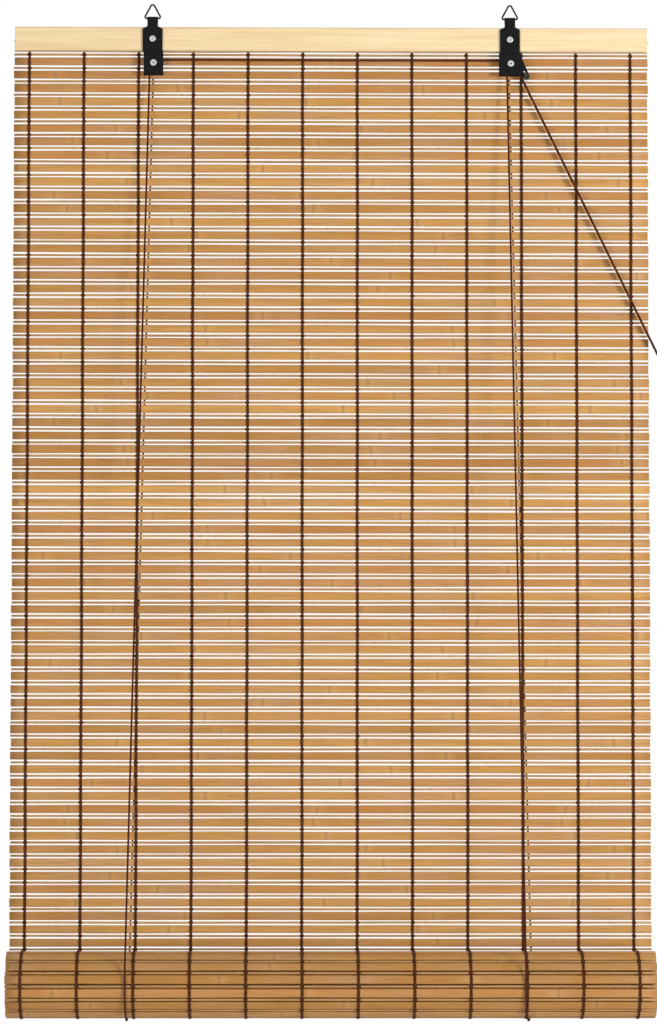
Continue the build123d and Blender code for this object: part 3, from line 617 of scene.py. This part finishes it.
# Two yarns for each thread, in front of the mat (face -1) or behind it (face 1). The turn goes once round for
# each pitch. A yarn runs at x plus or minus swing*(1 + 0.12*sin(turn/2 + 0.6)), with a slow lean of
# 0.2*sin(z/41 + x), and stands off the mat's middle by stand + 0.12*cos(turn) + 0.1*sin(turn/2), the last with
# its own sign, so a thread is wide over the slats and narrow at the sticks.
def yarnPaths(z, face):
    turn = 2 * np.pi * (z - mat["topZ"]) / mat["pitch"]
    swing = yarnSwing(turn)
    side = 1 + 0.12 * np.sin(turn / 2 + 0.6)
    paths = []
    for ply in (-1, 1):
        for x in threadX:
            lean = 0.2 * np.sin(z / 41 + x)
            y = mat["midY"] + face * (threads["stand"] + 0.12 * np.cos(turn) + 0.1 * ply * np.sin(turn / 2))
            paths.append(np.stack([x + ply * swing * side + lean, y, sagged(z)], -1))
    return paths


for label, frontTop, backTop, foot, samples, sticks, replaced, lifts in (
        ("top", threads["frontTop"], threads["backTop"], mat["seam"], threads["topSamples"], stickZ[1:topRows],
         ("mat_threads_top",), False),
        ("hanging", mat["seam"], mat["seam"], threads["foot"], threads["samples"], stickZ[topRows:-1],
         ("mat_threads_middle", "mat_threads_lower"), True)):
    for side, top, face in (("Front", frontTop, -1), ("Back", backTop, 1)):
        paths = yarnPaths(np.linspace(top, foot, samples), face)
        plies = tubesPiece(label + side + "Yarn", paths, threads["strand"], yarn, around=threads["around"])
        dressMat(plies, "thread", *(replaced if face == -1 else ()), lifts=lifts)
    wraps = wrapPiece(label + "Wraps", threadX, *hangingRows(sticks), knotYarn, **wrapShape)
    dressMat(wraps, "thread", lifts=lifts)
print("threads tied")

# The roll: the foot of the same mat, wound up in front of it
rolled = dict(y=-27.05, z=-1224.307, middle=39.9, step=5.8, turns=3, dip=310.0, slats=47, outerSticks=14, lead=5.0,
              samples=130, wobble=0.12, seed=21)


# The mat's middle line: each turn keeps its radius to the dip, then steps in by step*(3*s*s - 2*s*s*s), and a
# last turn and a straight run follow. Returns points (y, z) and the length to each, in mm.
def windingPath():
    y, z = [], []
    for turnIndex in range(rolled["turns"]):
        angle = np.linspace(0, 360, 721)[:-1]
        s = np.clip((angle - rolled["dip"]) / (360 - rolled["dip"]), 0, 1)
        radius = rolled["middle"] - rolled["step"] * (turnIndex + s * s * (3 - 2 * s))
        y.append(rolled["y"] + radius * np.cos(np.radians(-angle)))
        z.append(rolled["z"] + radius * np.sin(np.radians(-angle)))
    y, z = np.concatenate(y), np.concatenate(z)
    length = np.hypot(np.diff(y), np.diff(z)).sum()
    lastRadius = rolled["middle"] - rolled["turns"] * rolled["step"]
    closing = ((rolled["slats"] - 2.5) * mat["pitch"] - length) / lastRadius
    angle = np.arange(0, closing, math.radians(0.5))
    y = np.concatenate([y, rolled["y"] + lastRadius * np.cos(-angle)])
    z = np.concatenate([z, rolled["z"] + lastRadius * np.sin(-angle)])
    heading = -closing - math.pi / 2 - math.acos(math.sqrt(lastRadius ** 2 - mat["pitch"] ** 2) / lastRadius)
    run = np.linspace(0.2, 1.5 * mat["pitch"] + slatShape["width"] / 2, 60)
    y = np.concatenate([y, y[-1] + run * math.cos(heading)])
    z = np.concatenate([z, z[-1] + run * math.sin(heading)])
    reach = np.concatenate([[0], np.cumsum(np.hypot(np.diff(y), np.diff(z)))])
    return np.stack([y, z], -1), reach


windLine, windReach = windingPath()


# Place, heading and outward direction at those lengths along the winding
def onWinding(distance):
    at = np.stack([np.interp(distance, windReach, windLine[:, i]) for i in (0, 1)], -1)
    ahead = np.stack([np.interp(distance + 0.6, windReach, windLine[:, i]) for i in (0, 1)], -1)
    back = np.stack([np.interp(distance - 0.6, windReach, windLine[:, i]) for i in (0, 1)], -1)
    heading = ahead - back
    heading /= np.linalg.norm(heading, axis=-1, keepdims=True)
    outward = np.stack([-heading[:, 1], heading[:, 0]], -1)
    return at, heading, outward


slatPlaces = mat["pitch"] * np.arange(rolled["slats"])
rollSlats = barPiece("rollSlats", *onWinding(slatPlaces), rolled["seed"], slatBamboo, wobble=rolled["wobble"],
                     **slatShape)
stickPlaces = mat["pitch"] * (np.arange(rolled["slats"] - 1) + 0.5)
rollSticks = barPiece("rollSticks", *onWinding(stickPlaces), rolled["seed"] + 1, stickBamboo, wobble=rolled["wobble"],
                      **stickShape)
outerEnd = mat["pitch"] * (rolled["outerSticks"] + 0.5)
distance = np.linspace(-rolled["lead"], outerEnd, rolled["samples"])  # negative where the mat still hangs
at, heading, outward = onWinding(np.maximum(distance, 0.7))
turn = 2 * np.pi * distance / mat["pitch"]
rollPaths = []
for face in (1, -1):
    for ply in (-1, 1):
        for x in threadX:
            line = at + outward * (face * (threads["stand"] - 0.1 + 0.12 * np.cos(turn)))[:, None]
            line[:, 1] -= np.minimum(distance, 0.0)
            rollPaths.append(np.column_stack([x + ply * yarnSwing(turn), line[:, 0], line[:, 1]]))
rollYarn = tubesPiece("rollYarn", rollPaths, threads["strand"], yarn, around=threads["around"])
rollWraps = wrapPiece("rollWraps", threadX, *onWinding(stickPlaces[:rolled["outerSticks"]]), knotYarn, **wrapShape)
for piece, slotName, replaced in ((rollSlats, "bamboo", ("roll",)), (rollSticks, "bamboo", ()),
                                  (rollYarn, "thread", ("roll_threads",)), (rollWraps, "thread", ())):
    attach(piece, "rolled_mat")
    if replaced:
        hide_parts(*replaced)
print("roll wound", round(float(windReach[-1])), "mm")


# Points from a to b, just over a millimetre apart
def straight(a, b):
    a, b = np.array(a, float), np.array(b, float)
    count = max(int(np.linalg.norm(b - a) / 1.1), 8)
    return a + (b - a) * np.linspace(0, 1, count)[:, None]


# Arc centre + radius*(u*cos t + v*sin t)
def arcLine(centre, u, v, radius, fromDegrees, toDegrees):
    count = max(int(abs(math.radians(toDegrees - fromDegrees)) * radius / 1.0), 10)
    t = np.radians(np.linspace(fromDegrees, toDegrees, count))[:, None]
    return np.array(centre) + radius * (np.array(u) * np.cos(t) + np.array(v) * np.sin(t))


# Runs one after another, with each shared point once
def joined(*runs):
    return np.concatenate([runs[0]] + [run[1:] for run in runs[1:]])


# The lift cords: from an eye behind the rail, under the roll and up over a pulley, the left one across to the lock
cordShape = dict(radius=1.25, around=9, groove=0.13, lay=2.6)
lift = dict(eye=(223.5, 16.4, -33.86), reachY=43.45, tail=20.0, knotRadius=3.0)
pulley = dict(z=-72.407, lineRadius=4.9, leftX=-223.8, rightX=226.2, leftY=6.75, rightY=2.75)
pull = dict(angle=25.9, toLock=26, toBell=405, length=0.4125, knotRadius=4.0, knotIn=9.1)
axleZ, lineR = pulley["z"], pulley["lineRadius"]
slant = math.radians(pull["angle"])
pullDir = np.array([math.sin(slant), 0, -math.cos(slant)])
pullSide = np.array([math.cos(slant), 0, math.sin(slant)])
leave = np.array([pulley["rightX"], 0, axleZ]) + pullSide * lineR
lockPoint = leave + pullDir * pull["toLock"]
rearY, frontY = np.array([0, pulley["leftY"], 0]), np.array([0, pulley["rightY"], 0])
ropes = []
for side, sign, backX, frontX, axleX, cordY, frontEnd in (
        ("left", -1, -250.5, -252.7, pulley["leftX"], pulley["leftY"], (-252.66, -69.06, -1201.44)),
        ("right", 1, 250.0, 237.7, pulley["rightX"], pulley["rightY"], (237.89, -69.15, -1201.56))):
    eye = (sign * lift["eye"][0], *lift["eye"][1:])
    span = np.array([backX - frontX, 2 * lift["reachY"], 0.0])
    reach = np.linalg.norm(span) / 2
    middle = np.array([(backX + frontX) / 2, rolled["y"], rolled["z"]])
    toPulley = math.hypot(cordY - rolled["y"], axleZ - rolled["z"])
    lean = math.degrees(math.asin(lift["reachY"] / toPulley) + math.asin((cordY - rolled["y"]) / toPulley))
    loopArc = arcLine(middle, span / np.linalg.norm(span), (0, 0, 1), reach, 180 - lean, 360)
    backEnd = loopArc[-1] + np.array([0, 0, lift["tail"]])
    loop = joined(straight(frontEnd, loopArc[0]), loopArc, straight(loopArc[-1], backEnd))
    ropes.append((side + "LoopCord", loop, "cord_loops", side + "_cord_loop", None))
    ropes.append((side + "FrontCord", straight((axleX - lineR, cordY, axleZ), frontEnd), "root",
                  side + "_cord_front", (axleZ * mm, 0.0653)))
    ropes.append((side + "BackCord", straight(eye, backEnd), "root", side + "_cord_back", (-0.03386, 0.0984)))
leftHub = np.array([pulley["leftX"], pulley["leftY"], axleZ])
rearHub = np.array([pulley["rightX"], pulley["leftY"], axleZ])
frontHub = np.array([pulley["rightX"], pulley["rightY"], axleZ])
over = np.array([0, 0, lineR])
crossing = joined(arcLine(leftHub, (1, 0, 0), (0, 0, 1), lineR, 180, 90), straight(leftHub + over, rearHub + over),
                  arcLine(rearHub, (1, 0, 0), (0, 0, 1), lineR, 90, pull["angle"]),
                  straight(leave + rearY, lockPoint + rearY))
lockRun = joined(arcLine(frontHub, (1, 0, 0), (0, 0, 1), lineR, 180, pull["angle"]),
                 straight(leave + frontY, lockPoint + frontY))
ropes.append(("crossCord", crossing, "root", "cross_cord", None))
ropes.append(("lockCord", lockRun, "root", "right_lock_cord", None))
for label, path, body, replaced, lifted in ropes:
    rope = tubesPiece(label, path, material=cordBraid, **cordShape)
    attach(rope, body)
    if lifted:
        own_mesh(rope)
    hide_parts(replaced)


# Ball profile of a knot: r*sin a at a height of -r*cos a
def knotProfile(r):
    return [(r * math.sin(a), -r * math.cos(a)) for a in np.linspace(0, math.pi, 13)]


for side, sign in (("left", -1), ("right", 1)):
    eye = (sign * lift["eye"][0], *lift["eye"][1:])
    knot = turnedPiece(side + "Knot", knotProfile(lift["knotRadius"]), eye, (-0.2 * sign, 0.3, 1), (1, 0, 0),
                       cordBraid, ripple=0.12)
    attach(knot, "root")
    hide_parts(side + "_cord_knot")

# The free pull cords end just outside the view in a turned bell
bellTop = lockPoint + np.array([0, (pulley["leftY"] + pulley["rightY"]) / 2, 0]) + pullDir * pull["toBell"]
bellProfile = [(0, 0), (4.2, 0), (5.5, 0.5), (6.1, 2.2), (5.9, 4.5), (6.4, 8), (6.9, 13), (7.6, 19), (8.4, 23.4),
               (8.9, 25.2), (8.6, 26), (7.6, 25.9), (7.0, 23), (6.2, 14), (5.4, 7), (4.9, 5.0), (0, 5.0)]
bell = turnedPiece("pullBell", bellProfile, bellTop, pullDir, (0, 1, 0), bellWood)
pullKnot = turnedPiece("pullKnot", knotProfile(pull["knotRadius"]), bellTop + pullDir * pull["knotIn"],
                       pullDir + np.array([0.1, 0.2, 0]), (0, 1, 0), cordBraid, ripple=0.12)
pullCords = []
for label, offset in (("pullCordFront", frontY), ("pullCordRear", rearY)):
    start = (lockPoint + offset) * mm
    end = start + pullDir * pull["length"]
    curve = bpy.data.curves.new(label, "CURVE")
    curve.dimensions = "3D"
    curve.bevel_depth = cordShape["radius"] * mm
    curve.bevel_resolution = 3
    curve.use_fill_caps = True
    spline = curve.splines.new("NURBS")
    spline.points.add(5)
    for i, share in enumerate((0, 0.2, 0.4, 0.6, 0.8, 1.0)):
        spline.points[i].co = (*(start + (end - start) * share), 1)
    spline.order_u = 3
    spline.use_endpoint_u = True
    curve.materials.append(pullBraid)
    line = bpy.data.objects.new(label, curve)
    bpy.context.scene.collection.objects.link(line)
    pullCords.append((line, start))
for piece, slotName, replaced in ((bell, "bell_wood", "pull_bell"), (pullKnot, "cord", "pull_knot"),
                                  (pullCords[0][0], "cord", "pull_cord_front"),
                                  (pullCords[1][0], "cord", "pull_cord_rear")):
    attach(piece, "pull_line")
    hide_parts(replaced)
print("cords run")

# The camera at the photograph's angle, with its focal length in pixels of a picture 1024 high
view = dict(place=(-0.0655, -4.6788, -0.9298), yaw=0.01331, pitch=0.06214, roll=0.00062, focal=3751.2, height=1024)
cameraData = bpy.data.cameras.new("camera")
cameraData.sensor_fit = "VERTICAL"
cameraData.sensor_height = 36.0
cameraData.lens = view["focal"] * 36.0 / view["height"]
cameraData.clip_end = 50
camera = bpy.data.objects.new("camera", cameraData)
bpy.context.scene.collection.objects.link(camera)
level = math.cos(view["pitch"])
ahead = Vector((math.sin(view["yaw"]) * level, math.cos(view["yaw"]) * level, math.sin(view["pitch"])))
rightWay = Vector((math.cos(view["yaw"]), -math.sin(view["yaw"]), 0))
upWay = rightWay.cross(ahead)
tiltedRight = rightWay * math.cos(view["roll"]) + upWay * math.sin(view["roll"])
tiltedUp = upWay * math.cos(view["roll"]) - rightWay * math.sin(view["roll"])
turned = Matrix((tiltedRight, tiltedUp, -ahead)).transposed().to_4x4()
camera.matrix_world = Matrix.Translation(view["place"]) @ turned
bpy.context.scene.camera = camera

# Soft lamps, each with its place, its size in metres and its power in watts
lamps = dict(key=((2.7, -2.6, -0.3), 1.1, 110.0), fill=((-2.4, -3.3, -1.3), 2.2, 68.0),
             top=((0.3, -1.2, 2.4), 1.6, 9.0), back=((-0.9, 3.0, 1.3), 1.8, 60.0))
aim = Vector((0, 0, -0.62))
for label, (place, size, power) in lamps.items():
    lampData = bpy.data.lights.new(label, "AREA")
    lampData.shape = "DISK"
    lampData.size = size
    lampData.energy = power
    lamp = bpy.data.objects.new(label, lampData)
    lamp.location = place
    lamp.rotation_euler = (aim - Vector(place)).to_track_quat("-Z", "Y").to_euler()
    bpy.context.scene.collection.objects.link(lamp)


# One where a ray comes straight from the camera, from a gloss or through glass, and nought for the rest
def seenRays(tree):
    rays = node(tree, "ShaderNodeLightPath").outputs
    shiny = math2(tree, "MAXIMUM", rays["Is Glossy Ray"], rays["Is Transmission Ray"])
    return math2(tree, "MAXIMUM", rays["Is Camera Ray"], shiny)


world = bpy.data.worlds.new("studio")
bpy.context.scene.world = world
world.use_nodes = True
tree = world.node_tree
surround = tree.nodes["Background"]
surround.inputs[0].default_value = (1, 1, 1, 1)
surround.inputs[1].default_value = 0.36
white = node(tree, "ShaderNodeBackground", inputs={0: (1, 1, 1, 1), 1: 1.0})
choose = node(tree, "ShaderNodeMixShader")
tree.links.new(seenRays(tree), choose.inputs[0])
tree.links.new(surround.outputs[0], choose.inputs[1])
tree.links.new(white.outputs[0], choose.inputs[2])
tree.links.new(choose.outputs[0], tree.nodes["World Output"].inputs[0])

# A pale floor that glows a little where it is seen, so it keeps to the white behind it
stageFloor = dict(half=2.2, z=-1.6, glow=0.4)
floorMaterial, tree, shader = newMaterial("floorPale", Base_Color=(0.86, 0.86, 0.86, 1), Roughness=0.85,
                                          Specular_IOR_Level=0.1)
shader.inputs["Emission Color"].default_value = (1, 1, 1, 1)
tree.links.new(math2(tree, "MULTIPLY", seenRays(tree), stageFloor["glow"]), shader.inputs["Emission Strength"])
corners = np.array([[-1, -1], [1, -1], [1, 1], [-1, 1]]) * stageFloor["half"]
floorPoints = np.column_stack([corners, np.full(4, stageFloor["z"])])
floor = meshPiece("floor", floorPoints, np.array([[0, 1, 2, 3]]), material=floorMaterial)
bpy.context.scene.view_settings.view_transform = "Standard"
print("camera and lights set")
